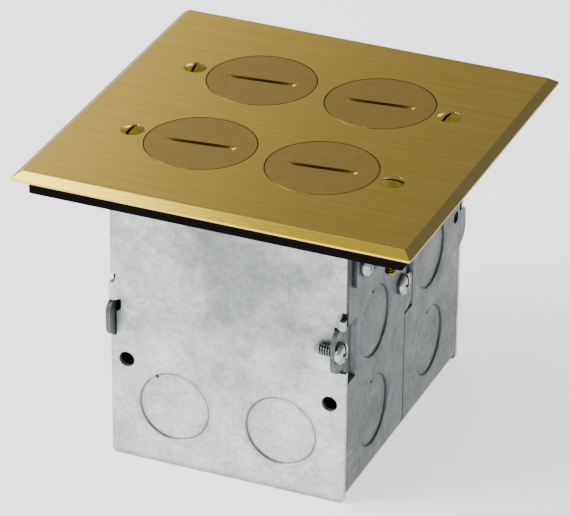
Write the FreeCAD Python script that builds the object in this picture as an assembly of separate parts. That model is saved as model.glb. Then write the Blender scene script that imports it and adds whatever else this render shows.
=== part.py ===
import FreeCAD, Part

# Two-gang floor socket box: two folded steel sections and two flat side plates screwed
# together, adjustable fixing ears, two duplex receptacles, and a bevelled brass cover
# plate with four threaded plugs over the outlets.
#
# Millimetres. X runs along each receptacle, Y from gang to gang, +Z is up. The origin is
# the middle of the box's underside. Each sub-part is written to parts/NODE.step.

import os
from math import acos, cos, hypot, radians, sin, tan

# ---- Driving dimensions -------------------------------------------------------------

# Box shell
sheet = 1.5  # galvanised sheet steel
box_length = 75.6  # outside the end walls
gang_pitch = 46.04  # width of one section, and so from gang to gang
box_depth = 88.9  # underside to rim
fold_radius = 3.6  # outside radius where the end walls fold up
edge_break = 0.25  # chamfer on the sheared edges that meet at a seam
plate_corner = 1.6  # corner radius of a side plate
fit_gap = 0.06  # between pieces that seat on each other

# Knockouts
knockout_radius = 11.1
knockout_kerf = 0.1
knockout_set = 0.5  # how far the half-sheared slug stands inwards
knockout_roll = 0.4  # rounding of the hole's rim, where the punch drew the sheet in
knockout_tie = 3.0  # width of the bridge that holds a slug
tie_reach = 1.0  # of the bridge, each side of the hole's rim
knockout_low = 20.2  # height of the lower row on every wall
knockout_rise = 30.7  # lower row to upper row on an end wall
knockout_shift = 1.8  # from an end wall's middle towards its screw lug
knockout_half_pitch = 17.3  # from the middle of a side plate or bottom
side_tie_angle = 50.0
end_tie_angle = 90.0

# Lugs that hold the sections and side plates together
lug_reach = 6.4  # beyond the section's edge
lug_height = 14.0
lug_middle = 52.2  # height of the screw lug's middle
lug_corner = 4.2
lock_screw_height = 52.5
pocket_slope = 0.8  # lean of the pressed pocket's sides
hook_reach = 5.4
hook_height = 12.0
hook_middle = 47.2
hook_top_corner = 3.0
hook_low_corner = 4.6
hook_clear = 0.3  # round a hook in its pocket or slot

# Side plates
plate_hole_radius = 2.5
plate_hole_spacing = 65.6
plate_hole_height = 33.3
tongue_length = 3.0  # in from the plate's edge
tongue_rise = 1.5
tongue_bend = 0.6  # lead of the pressing's inner face over its outer one
tongue_nick = 1.6  # length of the nick over a tongue
tongue_relief = 0.8  # height of the nick above the pressing
hook_tongue_height = 7.4
lug_tongue_height = 4.4
lug_slot_clear = 0.8
lug_slot_over = 0.4  # above the lug
eye_height = 4.2  # of the wide top of a hook's slot
eye_corner = 1.5

# Lock screws (number 6)
lock_radius = 1.74
lock_length = 7.9
lock_point = 1.6
lock_head_radius = 3.4
lock_head_height = 2.2
lock_clear = 0.25  # round the shank in the wall it passes through

# Slots in the pan head screws
drive_half_width = 0.6
drive_depth = 0.5  # share of the head's height
tip_share = 0.15  # blunt end of a point, as a share of the shank

# Device ears, folded out of the end walls below the rim
ear_drop = 4.8  # from the rim down to the ear's upper face
ear_width = 16.0
ear_length = 9.4  # beyond the end wall
ear_relief = 1.2
ear_fold_inside = 0.8
device_screw_spacing = 83.31

# Adjustable ear brackets
bracket_sheet = 1.2
bracket_width = 40.2
bracket_height = 18.1
bracket_reach = 12.2  # flange beyond the end wall
bracket_fold = 1.8
bracket_window = 17.6
bracket_web = 8.4
bracket_slot_offset = 13.9
bracket_slot_width = 4.8
bracket_travel = 6.0
bracket_gap = 0.1
bracket_corner = 3.0
bracket_hole_radius = 2.1
bracket_screw_height = 76.5
bracket_screw_radius = 2.0
bracket_screw_length = 4.5
bracket_head_radius = 3.7
bracket_head_height = 2.1
blunt_point = 0.3  # chamfered end of the short screws

# Cover plate
cover_size = 125.5
cover_thickness = 2.5
cover_bevel_inset = 2.6
cover_bevel_drop = 1.9
cover_corner = 0.8
cover_boss_wall = 1.8
cover_post_radius = 3.7
ledge_width = 1.9
ledge_thickness = 1.2

# Gasket
gasket_thickness = 5.2
gasket_inset = 3.9
gasket_band = 7.0
gasket_corner = 0.8
rim_below_gasket = 0.6

# Cover screws (number 6, oval head)
cover_screw_radius = 1.72
cover_screw_length = 30.2
cover_screw_head_radius = 3.55
cover_screw_crown = 0.8
cover_screw_cone = 1.75
cover_screw_slot = 1.0
screw_clearance = 0.2
cover_slot_angles = {(-1, -1): 84.0, (1, -1): 8.0, (-1, 1): 97.0, (1, 1): 78.0}

# Screw plugs
plug_radius = 17.1
plug_fit = 0.08  # radial running clearance of the plug in its hole
plug_thickness = 4.5
plug_chamfer = 0.3
plug_slot_length = 21.8
plug_slot_width = 1.8
plug_slot_depth = 1.6
plug_slot_angle = 6.5
plug_under_recess = 1.4
plug_seat_width = 1.5  # rim of the plug inside its seal
plug_recess_lean = 1.0
seal_thickness = 1.0
seal_inset = 0.5
seal_width = 1.5

# Duplex receptacles
outlet_pitch = 38.9
face_gap = 0.3  # below the ledge
face_pad_radius = 17.2
face_pad_flat = 14.3
face_length = 68.0
face_width = 33.0
face_flange = 1.6
moulding_corner = 2.0
strap_sheet = 1.3
strap_length = 93.0
strap_body_length = 56.0
strap_body_width = 22.0
strap_neck_width = 14.0
strap_shoulder = 3.0  # length over which the body narrows to the neck
strap_corner = 2.0
strap_slot_radius = 2.0
strap_slot_length = 6.6
strap_window_width = 4.8
strap_tap_radius = 1.4
base_length = 65.6
base_width = 26.0
base_depth = 22.6
blade_offset = 6.35
blade_shift = 4.0
blade_length = 7.4
neutral_extra = 1.6  # the neutral slot is longer
blade_width = 2.1
ground_shift = 7.9
ground_radius = 2.6
contact_sheet = 0.8
contact_height = 14.0
contact_length = 8.6
contact_leaf_gap = 1.9
contact_depth_below = 4.4
rail_reach = 11.4
rail_length = 48.0
pocket_clear = 0.4
terminal_offset = 9.5
terminal_drop = 11.4
terminal_radius = 1.9
terminal_head_radius = 3.6
terminal_head_height = 2.0
terminal_depth = 3.4
terminal_window = 9.2
ground_tube_wall = 0.8
ground_tube_length = 11.0
ground_strip_width = 6.4
ground_strip_sheet = 1.0
tab_offset = 24.3  # from the middle to the strap's grounding tab
tab_width = 7.6
tab_drop = 9.6
tab_gap = 0.15
tab_screw_drop = 5.4
tab_screw_depth = 0.8
rivet_radius = 1.3
rivet_head_radius = 2.1
rivet_head_height = 0.7
rivet_offset = 8.0  # each side of the receptacle's middle

# Grounding screw in the bottom of the back section
earth_screw_radius = 2.4
earth_head_radius = 4.2
earth_head_height = 2.6

# ---- Worked out from them -----------------------------------------------------------

half_length = box_length / 2
inner_half = half_length - sheet
half_gang = gang_pitch / 2
plate_face = -half_gang - sheet
lug_face = inner_half - fit_gap  # outer face of a screw lug
lug_screw_inset = sheet + lock_radius + fit_gap  # the shank lies across the plate's face
gasket_under = box_depth + rim_below_gasket
cover_under = gasket_under + gasket_thickness
cover_top = cover_under + cover_thickness
plug_under = cover_top - plug_thickness
hole_radius = plug_radius + plug_fit
ledge_top = plug_under - seal_thickness - 2 * fit_gap
ledge_under = ledge_top - ledge_thickness
face_top = ledge_under - face_gap
ear_top = box_depth - ear_drop
strap_top = ear_top + strap_sheet
screw_x = device_screw_spacing / 2
GANGS = {"front": -1, "back": 1}
ENDS = {"left": -1, "right": 1}

tolerance = 1e-6  # for telling apart points and planes

V = FreeCAD.Vector
UP = V(0, 0, 1)


# ---- Shape helpers ------------------------------------------------------------------


def on_xy(z):
    return lambda a, b: V(a, b, z)


def on_xz(y):
    return lambda a, b: V(a, y, b)


def on_yz(x):
    return lambda a, b: V(x, a, b)


def block(x0, x1, y0, y1, z0, z1):
    """Box between two corners given in any order."""
    low = V(min(x0, x1), min(y0, y1), min(z0, z1))
    size = V(abs(x1 - x0), abs(y1 - y0), abs(z1 - z0))
    return Part.makeBox(size.x, size.y, size.z, low)


def rod(start, axis, radius, length):
    return Part.makeCylinder(radius, length, start, axis)


def outline(corners, place):
    """Closed wire through corners (a, b, radius); place(a, b) puts a point in space."""
    count = len(corners)
    edges = []
    starts = []
    ends = []
    arcs = []
    for i in range(count):
        a, b, radius = corners[i]
        pa, pb = corners[i - 1][:2]
        na, nb = corners[(i + 1) % count][:2]
        back = hypot(pa - a, pb - b)
        ahead = hypot(na - a, nb - b)
        ub = ((pa - a) / back, (pb - b) / back)
        ua = ((na - a) / ahead, (nb - b) / ahead)
        if radius == 0:
            starts.append((a, b))
            ends.append((a, b))
            arcs.append(None)
            continue
        dot = max(-1.0, min(1.0, ub[0] * ua[0] + ub[1] * ua[1]))
        half = acos(dot) / 2
        reach = radius / tan(half)
        bis = (ub[0] + ua[0], ub[1] + ua[1])
        size = hypot(*bis)
        deep = radius / sin(half) - radius
        starts.append((a + ub[0] * reach, b + ub[1] * reach))
        ends.append((a + ua[0] * reach, b + ua[1] * reach))
        arcs.append((a + bis[0] / size * deep, b + bis[1] / size * deep))
    for i in range(count):
        if arcs[i]:
            arc = Part.Arc(place(*starts[i]), place(*arcs[i]), place(*ends[i]))
            edges.append(arc.toShape())
        here = ends[i]
        there = starts[(i + 1) % count]
        if hypot(here[0] - there[0], here[1] - there[1]) > tolerance:
            edges.append(Part.LineSegment(place(*here), place(*there)).toShape())
    return Part.Wire(edges)


def slab(corners, place, push):
    """Prism of an outline, pushed along a vector."""
    return Part.Face(outline(corners, place)).extrude(push)


def rectangle(a0, a1, b0, b1, radius=0.0):
    return [(a0, b0, radius), (a1, b0, radius), (a1, b1, radius), (a0, b1, radius)]


def turned(profile, centre):
    """Solid of revolution of (radius, height) points about the Z axis through centre."""
    points = [V(radius, 0, height) + centre for radius, height in profile]
    points.append(points[0])
    face = Part.Face(Part.makePolygon(points))
    return face.revolve(centre, UP, 360)


def frustum(low, high, low_place, high_place):
    """Loft between two outlines of the same number of corners."""
    return Part.makeLoft([outline(low, low_place), outline(high, high_place)], True, True)


def half_turn(shape):
    """Copy turned 180 degrees about Z."""
    copy = shape.copy()
    copy.rotate(V(0, 0, 0), UP, 180)
    return copy


def mirrored(shape):
    """Copy mirrored end for end."""
    return shape.mirror(V(0, 0, 0), V(1, 0, 0))


def moved(shape, x=0.0, y=0.0, z=0.0):
    copy = shape.copy()
    copy.translate(V(x, y, z))
    return copy


def aimed(shape, angle, centre, axis=UP):
    copy = shape.copy()
    copy.rotate(centre, axis, angle)
    return copy


def pan_screw(tip_start, axis, radius, length, head_radius, head_height, point):
    """Pan head screw: the head's underside is at tip_start, the shank runs along axis."""
    dome = (head_radius**2 + head_height**2) / (2 * head_height)
    ball = Part.makeSphere(dome, V(0, 0, head_height - dome))
    head = rod(V(0, 0, 0), UP, head_radius, head_height).common(ball)
    floor = head_height * (1 - drive_depth)
    slot = block(-head_radius, head_radius, -drive_half_width, drive_half_width, floor, 2 * head_height)
    shank = rod(V(0, 0, point - length), UP, radius, length - point)
    tip = Part.makeCone(radius * tip_share, radius, point, V(0, 0, -length), UP)
    screw = head.cut(slot).fuse([shank, tip]).removeSplitter()
    turn = FreeCAD.Rotation(V(0, 0, -1), axis)
    screw.Placement = FreeCAD.Placement(tip_start, turn)
    return screw


def knockout(centre, inwards, across, tie_angle):
    """One knockout, its centre on the wall's outer face: the hole, then its slug and tie.

    The slug is half sheared, so it stands inwards, and one tie bridges the shear.
    """
    hole = rod(centre - inwards * sheet, inwards, knockout_radius, 3 * sheet)
    rim = knockout_radius + knockout_roll
    roll = Part.makeCone(rim, knockout_radius, knockout_roll, centre, inwards)
    slug = rod(centre + inwards * knockout_set, inwards, knockout_radius - knockout_kerf, sheet)
    side = inwards.cross(across)
    turn = radians(tie_angle)
    out = across * cos(turn) + side * sin(turn)
    tie = Part.makeBox(2 * tie_reach, knockout_tie, sheet)
    tie.translate(V(knockout_radius - tie_reach, -knockout_tie / 2, 0))
    frame = FreeCAD.Rotation(out, inwards.cross(out), inwards, "ZXY")
    tie.Placement = FreeCAD.Placement(centre, frame).multiply(tie.Placement)
    return hole.fuse(roll), slug.fuse(tie)


# ---- Box sections -------------------------------------------------------------------


def channel():
    """Folded strip: two end walls and the bottom between them, its seam edges broken."""
    inner = fold_radius - sheet
    corners = [
        (-half_length, 0, fold_radius),
        (half_length, 0, fold_radius),
        (half_length, box_depth, 0),
        (inner_half, box_depth, 0),
        (inner_half, sheet, inner),
        (-inner_half, sheet, inner),
        (-inner_half, box_depth, 0),
        (-half_length, box_depth, 0),
    ]
    body = slab(corners, on_xz(-half_gang), V(0, gang_pitch, 0))
    edges = []
    for edge in body.Edges:
        middle = edge.valueAt((edge.FirstParameter + edge.LastParameter) / 2)
        at_seam = abs(abs(middle.y) - half_gang) < tolerance
        on_wall = abs(abs(middle.x) - half_length) < tolerance
        on_bottom = abs(middle.z) < tolerance
        on_fold = edge.BoundBox.ZMin < tolerance and edge.BoundBox.ZMax < fold_radius + tolerance
        if at_seam and (on_wall or on_bottom or on_fold):
            edges.append(edge)
    return body.makeChamfer(edge_break, edges)


def device_ear():
    """Tapped ear folded outwards from the right end wall."""
    root = ear_top - sheet - ear_fold_inside - ear_relief * 2
    bend_out = ear_fold_inside
    bend_in = ear_fold_inside + sheet
    tip = half_length + ear_length
    corners = [
        (inner_half, root, 0),
        (half_length, root, 0),
        (half_length, ear_top - sheet, bend_out),
        (tip, ear_top - sheet, 0),
        (tip, ear_top, 0),
        (inner_half, ear_top, bend_in),
    ]
    ear = slab(corners, on_xz(-ear_width / 2), V(0, ear_width, 0))
    trim = slab(
        rectangle(half_length - 2 * sheet, tip, -ear_width / 2, ear_width / 2, ear_relief * 2),
        on_xy(root - sheet),
        V(0, 0, box_depth),
    )
    square = block(0, half_length + sheet, -ear_width, ear_width, 0, box_depth)
    ear = ear.common(trim.fuse(square))
    hole = rod(V(screw_x, 0, ear_top - 2 * sheet), UP, cover_screw_radius + fit_gap / 2, 3 * sheet)
    return ear.cut(hole)


def pocket(grow, outer, inner):
    """Tapered dish pressed into the right end wall at its front edge, as wide as a hook."""
    edge = -half_gang
    reach = edge + hook_reach + hook_clear
    low = hook_middle - hook_height / 2 - hook_clear
    high = lug_middle + lug_height / 2
    lean = grow + pocket_slope
    wide = rectangle(edge - lean, reach + lean, low - lean, high + lean)
    tight = rectangle(edge - lean, reach + grow, low - grow, high + grow)
    return frustum(wide, tight, on_yz(outer), on_yz(inner))


def pocket_hollow():
    """The space in the dish, carried on past the edge of the sheet."""
    depth = sheet + fit_gap
    low = hook_middle - hook_height / 2 - hook_clear - pocket_slope
    high = lug_middle + lug_height / 2 + pocket_slope
    past = block(half_length - depth, half_length + sheet, -half_gang - sheet, -half_gang, low, high)
    return pocket(0, half_length, half_length - depth).fuse(past)


def pocket_dish():
    """The skin of the dish, on the inside of the wall."""
    dish = pocket(sheet, half_length, half_length - 2 * sheet - fit_gap)
    return dish.common(block(0, half_length, -half_gang, 0, 0, box_depth))


def screw_lug():
    """Tapped lug set in by one sheet, so that the next section's hook lies over it."""
    edge = -half_gang
    low = lug_middle - lug_height / 2
    high = lug_middle + lug_height / 2
    root = edge + hook_reach / 2
    shape = [
        (edge - lug_reach, low, lug_corner),
        (root, low, 0),
        (root, high, 0),
        (edge - lug_reach, high, lug_corner),
    ]
    lug = slab(shape, on_yz(lug_face - sheet), V(sheet, 0, 0))
    start = V(0, edge - lug_screw_inset, lock_screw_height)
    return lug.cut(rod(start, V(1, 0, 0), lock_radius + fit_gap / 2, half_length))


def lock_hole():
    """Clear hole for the lock screw that goes into the next section's lug."""
    start = V(inner_half - sheet, half_gang - lug_screw_inset, lock_screw_height)
    return rod(start, V(1, 0, 0), lock_radius + lock_clear, 3 * sheet)


def hook_lug():
    """Rounded hook in line with the right wall, at its back edge."""
    edge = half_gang
    low = hook_middle - hook_height / 2
    high = hook_middle + hook_height / 2
    shape = [
        (edge + hook_reach, low, hook_low_corner),
        (edge + hook_reach, high, hook_top_corner),
        (edge - sheet, high, 0),
        (edge - sheet, low, 0),
    ]
    return slab(shape, on_yz(inner_half), V(sheet, 0, 0))


def ear_notch():
    """Cut from the rim that frees the sheet for the device ear."""
    half = ear_width / 2 + ear_relief
    floor = ear_top - sheet - ear_fold_inside - ear_relief
    return block(0, half_length + sheet, -half, half, floor, box_depth + sheet)


def bracket_taps():
    """Tapped holes for the two screws of the ear bracket."""
    taps = []
    for side in (-1, 1):
        start = V(inner_half - sheet, side * bracket_slot_offset, bracket_screw_height)
        taps.append(rod(start, V(1, 0, 0), bracket_screw_radius + fit_gap / 2, 3 * sheet))
    return taps


def end_knockouts():
    """The two knockouts of the right end wall."""
    made = []
    for row in range(2):
        centre = V(half_length, -knockout_shift, knockout_low + row * knockout_rise)
        made.append(knockout(centre, V(-1, 0, 0), V(0, 1, 0), -end_tie_angle))
    return made


def bottom_knockouts():
    made = []
    for side in (-1, 1):
        centre = V(side * knockout_half_pitch, 0, 0)
        made.append(knockout(centre, UP, V(1, 0, 0), 90 + side * side_tie_angle))
    return made


def both_ends(shapes):
    """The shapes of the right end wall, and the same turned round for the left one."""
    return shapes + [half_turn(shape) for shape in shapes]


def box_section(earth_hole):
    """One folded section; the grounding screw's hole is in the bottom of one of them."""
    holes, slugs = zip(*end_knockouts())
    floor_holes, floor_slugs = zip(*bottom_knockouts())
    cuts = [pocket_hollow(), ear_notch(), lock_hole(), *bracket_taps(), *holes]
    floor_cuts = list(floor_holes)
    if earth_hole:
        floor_cuts.append(rod(V(0, 0, -sheet), UP, earth_screw_radius + fit_gap / 2, 3 * sheet))
    body = channel().fuse(both_ends([pocket_dish()]))
    body = body.cut(both_ends(cuts) + floor_cuts)
    body = body.fuse(both_ends([screw_lug(), device_ear(), hook_lug(), *slugs]) + list(floor_slugs))
    return body.removeSplitter()


# ---- Side plates --------------------------------------------------------------------


def tongue(low, height):
    """Right-hand tongue over a slot: its pressed skin, the hollow behind it and its nick.

    It is pressed outwards by one sheet, with a leaning side and top, and is open at the
    plate's edge and at the slot below. A nick in the edge frees the end of the pressing.
    """
    near = half_length - tongue_length
    far = half_length + sheet
    high = low + height

    def pressing(inset, start):
        wide = rectangle(near + inset, far, low - sheet, high - inset)
        lean = inset + tongue_rise
        tight = rectangle(near + lean, far, low - sheet, high - lean)
        return frustum(wide, tight, on_xz(start), on_xz(start - tongue_rise))

    skin = pressing(0, plate_face)
    hollow = pressing(tongue_bend, -half_gang)
    nick = block(
        half_length - tongue_nick,
        far,
        plate_face - 2 * tongue_rise,
        0,
        high - tongue_rise,
        high + tongue_relief,
    )
    return skin, hollow, nick


def lug_slot():
    """Slot at the right edge that the screw lug comes through."""
    low = lug_middle - lug_height / 2 - lug_slot_clear
    inner = inner_half - sheet - lug_slot_clear
    return block(inner, half_length + sheet, plate_face - 2 * sheet, 0, low, lug_slot_top())


def lug_slot_top():
    return lug_middle + lug_height / 2 + lug_slot_over


def hook_slot():
    """Slot, here at the right edge, that a hook comes through; its top is wider."""
    high = hook_slot_top()
    low = hook_middle - hook_height / 2 - hook_clear
    deep = plate_face - 2 * sheet
    far = half_length + sheet
    narrow = block(inner_half - hook_clear, far, deep, 0, low, high)
    near = half_length - tongue_length - hook_clear
    shape = [
        (near, high - eye_height, eye_corner),
        (far, high - eye_height, 0),
        (far, high, 0),
        (near, high, 0),
    ]
    return narrow.fuse(slab(shape, on_xz(deep), V(0, 4 * sheet, 0)))


def hook_slot_top():
    return hook_middle + hook_height / 2 + hook_clear


def side_plate():
    """Flat plate that closes the front; the back one is the same, turned round."""
    plan = rectangle(-half_length, half_length, 0, box_depth, plate_corner)
    body = slab(plan, on_xz(plate_face), V(0, sheet, 0))
    right = tongue(lug_slot_top(), lug_tongue_height)
    left = [mirrored(shape) for shape in tongue(hook_slot_top(), hook_tongue_height)]
    body = body.fuse([right[0], left[0]])
    body = body.common(slab(plan, on_xz(plate_face - 2 * sheet), V(0, 3 * sheet, 0)))
    slugs = []
    cuts = [right[1], right[2], left[1], left[2], lug_slot(), mirrored(hook_slot())]
    for side in (-1, 1):
        centre = V(side * knockout_half_pitch, plate_face, knockout_low)
        tie_angle = -90 + side * (90 - side_tie_angle)
        hole, slug = knockout(centre, V(0, 1, 0), V(1, 0, 0), tie_angle)
        cuts.append(hole)
        slugs.append(slug)
        start = V(side * plate_hole_spacing / 2, plate_face - sheet, plate_hole_height)
        cuts.append(rod(start, V(0, 1, 0), plate_hole_radius, 3 * sheet))
    return body.cut(cuts).fuse(slugs).removeSplitter()


# ---- Adjustable ear brackets --------------------------------------------------------


def ear_bracket():
    """Angle bracket on the right end wall, its flange level with the rim."""
    back = half_length + bracket_gap
    front = back + bracket_sheet
    tip = half_length + bracket_reach
    low = box_depth - bracket_height
    half = bracket_width / 2
    corners = [
        (back, low, 0),
        (front, low, 0),
        (front, box_depth - bracket_sheet, bracket_fold - bracket_sheet),
        (tip, box_depth - bracket_sheet, 0),
        (tip, box_depth, 0),
        (back, box_depth, bracket_fold),
    ]
    body = slab(corners, on_xz(-half), V(0, bracket_width, 0))
    clear = bracket_window / 2
    past = 2 * bracket_sheet
    cuts = [block(0, tip + past, -clear, clear, low + bracket_web, box_depth + past)]
    slot_half = bracket_slot_width / 2
    slot_top = bracket_screw_height + bracket_travel + fit_gap
    for side in (-1, 1):
        middle = side * bracket_slot_offset
        cuts.append(rod(V(0, middle, slot_top), V(1, 0, 0), slot_half, tip))
        cuts.append(block(0, front + past, middle - slot_half, middle + slot_half, low - past, slot_top))
        hole_y = side * (bracket_window / 2 + half) / 2
        hole_x = (front + tip) / 2
        start = V(hole_x, hole_y, box_depth - 2 * bracket_sheet)
        cuts.append(rod(start, UP, bracket_hole_radius, 3 * bracket_sheet))
    body = body.cut(cuts)
    keep_plan = slab(
        rectangle(-tip, tip, -half, half, bracket_corner), on_xy(0), V(0, 0, box_depth + past)
    )
    keep_side = slab(
        rectangle(-half, half, low, box_depth * 2, bracket_corner / 2), on_yz(0), V(tip, 0, 0)
    )
    return body.common(keep_plan).common(keep_side).removeSplitter()


# ---- Cover --------------------------------------------------------------------------


def cover_plate():
    """Bevelled plate with a threaded boss under each plug and a post under each screw."""
    half = cover_size / 2
    inner = half - cover_bevel_inset
    edge = cover_top - cover_bevel_drop
    plan = rectangle(-half, half, -half, half, cover_corner)
    top = rectangle(-inner, inner, -inner, inner, cover_corner / 2)
    body = slab(plan, on_xy(cover_under), V(0, 0, edge - cover_under))
    body = body.fuse(frustum(plan, top, on_xy(edge), on_xy(cover_top)))
    past = cover_top - ledge_under + sheet
    adds = []
    cuts = []
    for x in (-outlet_pitch / 2, outlet_pitch / 2):
        for y in (-half_gang, half_gang):
            low = V(x, y, ledge_under)
            adds.append(rod(low, UP, hole_radius + cover_boss_wall, cover_under - ledge_under))
            cuts.append(rod(low, UP, hole_radius - ledge_width, past))
            cuts.append(rod(V(x, y, ledge_top), UP, hole_radius, past))
    shank = cover_screw_radius + screw_clearance
    head = cover_screw_head_radius + screw_clearance / 2
    for x in (-screw_x, screw_x):
        for y in (-half_gang, half_gang):
            start = V(x, y, strap_top)
            adds.append(rod(start, UP, cover_post_radius, cover_under - strap_top))
            cuts.append(rod(start, UP, shank, cover_top - strap_top))
            sink = V(x, y, cover_top - cover_screw_cone)
            cuts.append(Part.makeCone(shank, head, cover_screw_cone, sink, UP))
    return body.fuse(adds).cut(cuts).removeSplitter()


def cover_gasket():
    half = cover_size / 2 - gasket_inset
    hole = half - gasket_band
    rise = V(0, 0, gasket_thickness)
    ring = slab(rectangle(-half, half, -half, half, gasket_corner), on_xy(gasket_under), rise)
    return ring.cut(
        slab(rectangle(-hole, hole, -hole, hole, gasket_corner), on_xy(gasket_under), rise)
    )


def cover_screw(x, y, angle):
    """Oval-head screw: domed top, countersunk underside, one slot."""
    crown = cover_screw_crown
    rim = cover_screw_head_radius
    dome = (rim**2 + crown**2) / (2 * crown)
    centre = V(x, y, cover_top)
    ball = Part.makeSphere(dome, centre + V(0, 0, crown - dome))
    top = rod(centre, UP, rim, crown).common(ball)
    neck = centre - V(0, 0, cover_screw_cone)
    tip = centre - V(0, 0, cover_screw_length)
    cone = Part.makeCone(cover_screw_radius, rim, cover_screw_cone, neck, UP)
    shank = rod(tip, UP, cover_screw_radius, cover_screw_length - cover_screw_cone)
    half = cover_screw_slot / 2
    slot = block(x - rim * 2, x + rim * 2, y - half, y + half, cover_top - crown, cover_top + crown * 2)
    return top.fuse([cone, shank]).cut(aimed(slot, angle, centre)).removeSplitter()


def screw_plug(x, y):
    """Threaded disc with a coin slot cut by a round cutter."""
    seat = plug_radius - seal_inset - seal_width - plug_seat_width
    profile = [
        (0, plug_under_recess),
        (seat - plug_recess_lean, plug_under_recess),
        (seat, 0),
        (plug_radius - plug_chamfer, 0),
        (plug_radius, plug_chamfer),
        (plug_radius, plug_thickness - plug_chamfer),
        (plug_radius - plug_chamfer, plug_thickness),
        (0, plug_thickness),
    ]
    centre = V(x, y, plug_under)
    disc = turned(profile, centre)
    chord = plug_slot_length / 2
    cutter_radius = (chord**2 + plug_slot_depth**2) / (2 * plug_slot_depth)
    middle = V(x, y - plug_slot_width / 2, cover_top - plug_slot_depth + cutter_radius)
    cutter = rod(middle, V(0, 1, 0), cutter_radius, plug_slot_width)
    return disc.cut(aimed(cutter, plug_slot_angle, centre))


def plug_seal(x, y):
    outer = plug_radius - seal_inset
    start = V(x, y, ledge_top + fit_gap)
    ring = rod(start, UP, outer, seal_thickness)
    return ring.cut(rod(start, UP, outer - seal_width, seal_thickness))


# ---- Duplex receptacle, centred on Y = 0 --------------------------------------------


def outlets():
    """Middles of the two outlets of one receptacle."""
    return (-outlet_pitch / 2, outlet_pitch / 2)


def tab_outside():
    """Distance from the middle to the outer face of the strap's grounding tab."""
    return base_width / 2 + tab_gap + strap_sheet


def receptacle_face():
    top = face_top
    low = strap_top
    body = slab(
        rectangle(-face_length / 2, face_length / 2, -face_width / 2, face_width / 2, moulding_corner),
        on_xy(low),
        V(0, 0, face_flange),
    )
    cuts = [rod(V(0, 0, low), UP, strap_slot_radius, top - low)]
    for x in outlets():
        pad = rod(V(x, 0, low), UP, face_pad_radius, top - low)
        flat = block(x - face_pad_flat, x + face_pad_flat, -face_width, face_width, low, top)
        body = body.fuse(pad.common(flat))
        for side in (-1, 1):
            middle = x + blade_shift
            length = blade_length + (side > 0) * neutral_extra
            cuts.append(
                block(
                    middle - length / 2,
                    middle + length / 2,
                    side * blade_offset - blade_width / 2,
                    side * blade_offset + blade_width / 2,
                    low,
                    top,
                )
            )
        cuts.append(rod(V(x - ground_shift, 0, low), UP, ground_radius, top - low))
    for y in (-rivet_offset, rivet_offset):
        cuts.append(rod(V(0, y, low), UP, rivet_radius + fit_gap / 2, face_flange))
    return body.cut(cuts).removeSplitter()


def mounting_strap():
    """Steel strap between face and base, with a slot for the cover screw at each end."""
    low = ear_top
    rise = V(0, 0, strap_sheet)
    half = strap_length / 2
    body_half = strap_body_length / 2
    neck = strap_neck_width / 2
    wide = strap_body_width / 2
    corners = [
        (-half, -neck, strap_corner),
        (-body_half - strap_shoulder, -neck, strap_corner),
        (-body_half, -wide, strap_corner),
        (body_half, -wide, strap_corner),
        (body_half + strap_shoulder, -neck, strap_corner),
        (half, -neck, strap_corner),
    ]
    corners += [(-a, -b, radius) for a, b, radius in corners]
    cuts = [rod(V(0, 0, low), UP, strap_tap_radius, strap_sheet)]
    for y in (-rivet_offset, rivet_offset):
        cuts.append(rod(V(0, y, low), UP, rivet_radius + fit_gap / 2, strap_sheet))
    for x in outlets():
        for side in (-1, 1):
            middle = x + blade_shift
            cuts.append(
                block(
                    middle - contact_length / 2,
                    middle + contact_length / 2,
                    side * blade_offset - strap_window_width / 2,
                    side * blade_offset + strap_window_width / 2,
                    low,
                    low + strap_sheet,
                )
            )
        cuts.append(rod(V(x - ground_shift, 0, low), UP, ground_radius, strap_sheet))
    reach = strap_slot_length / 2 - strap_slot_radius
    for side in (-1, 1):
        middle = side * screw_x
        for end in (-reach, reach):
            cuts.append(rod(V(middle + end, 0, low), UP, strap_slot_radius, strap_sheet))
        cuts.append(
            block(
                middle - reach,
                middle + reach,
                -strap_slot_radius,
                strap_slot_radius,
                low,
                low + strap_sheet,
            )
        )
    fold = [
        (-wide + strap_sheet, low, 0),
        (-tab_outside() + strap_sheet, low, 0),
        (-tab_outside() + strap_sheet, low - tab_drop, 0),
        (-tab_outside(), low - tab_drop, 0),
        (-tab_outside(), strap_top, strap_sheet),
        (-wide + strap_sheet, strap_top, 0),
    ]
    tab = slab(fold, on_yz(-tab_offset - tab_width / 2), V(tab_width, 0, 0))
    tap = rod(
        V(-tab_offset, -tab_outside(), low - tab_screw_drop),
        V(0, 1, 0),
        terminal_radius + fit_gap / 2,
        strap_sheet,
    )
    return slab(corners, on_xy(low), rise).fuse(tab).cut(cuts + [tap]).removeSplitter()


def contact_strip():
    """Spring brass strip along one side: a rail and a pair of leaves under each blade slot."""
    top = ear_top - contact_depth_below
    low = top - contact_height
    inside = blade_offset - contact_leaf_gap / 2 - contact_sheet
    rail_in = rail_reach - contact_sheet
    strip = block(-rail_length / 2, rail_length / 2, rail_in, rail_reach, low, top)
    adds = []
    for x in outlets():
        start = x + blade_shift - contact_length / 2 + pocket_clear
        end = x + blade_shift + contact_length / 2 - pocket_clear
        adds.append(block(start, end, inside, rail_reach, low, low + contact_sheet))
        for leaf in (inside, blade_offset + contact_leaf_gap / 2):
            adds.append(block(start, end, leaf, leaf + contact_sheet, low, top))
    taps = []
    for x in (-terminal_offset, terminal_offset):
        start = V(x, rail_in, ear_top - terminal_drop)
        taps.append(rod(start, V(0, 1, 0), terminal_radius + fit_gap / 2, contact_sheet))
    return strip.fuse(adds).cut(taps).removeSplitter()


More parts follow.
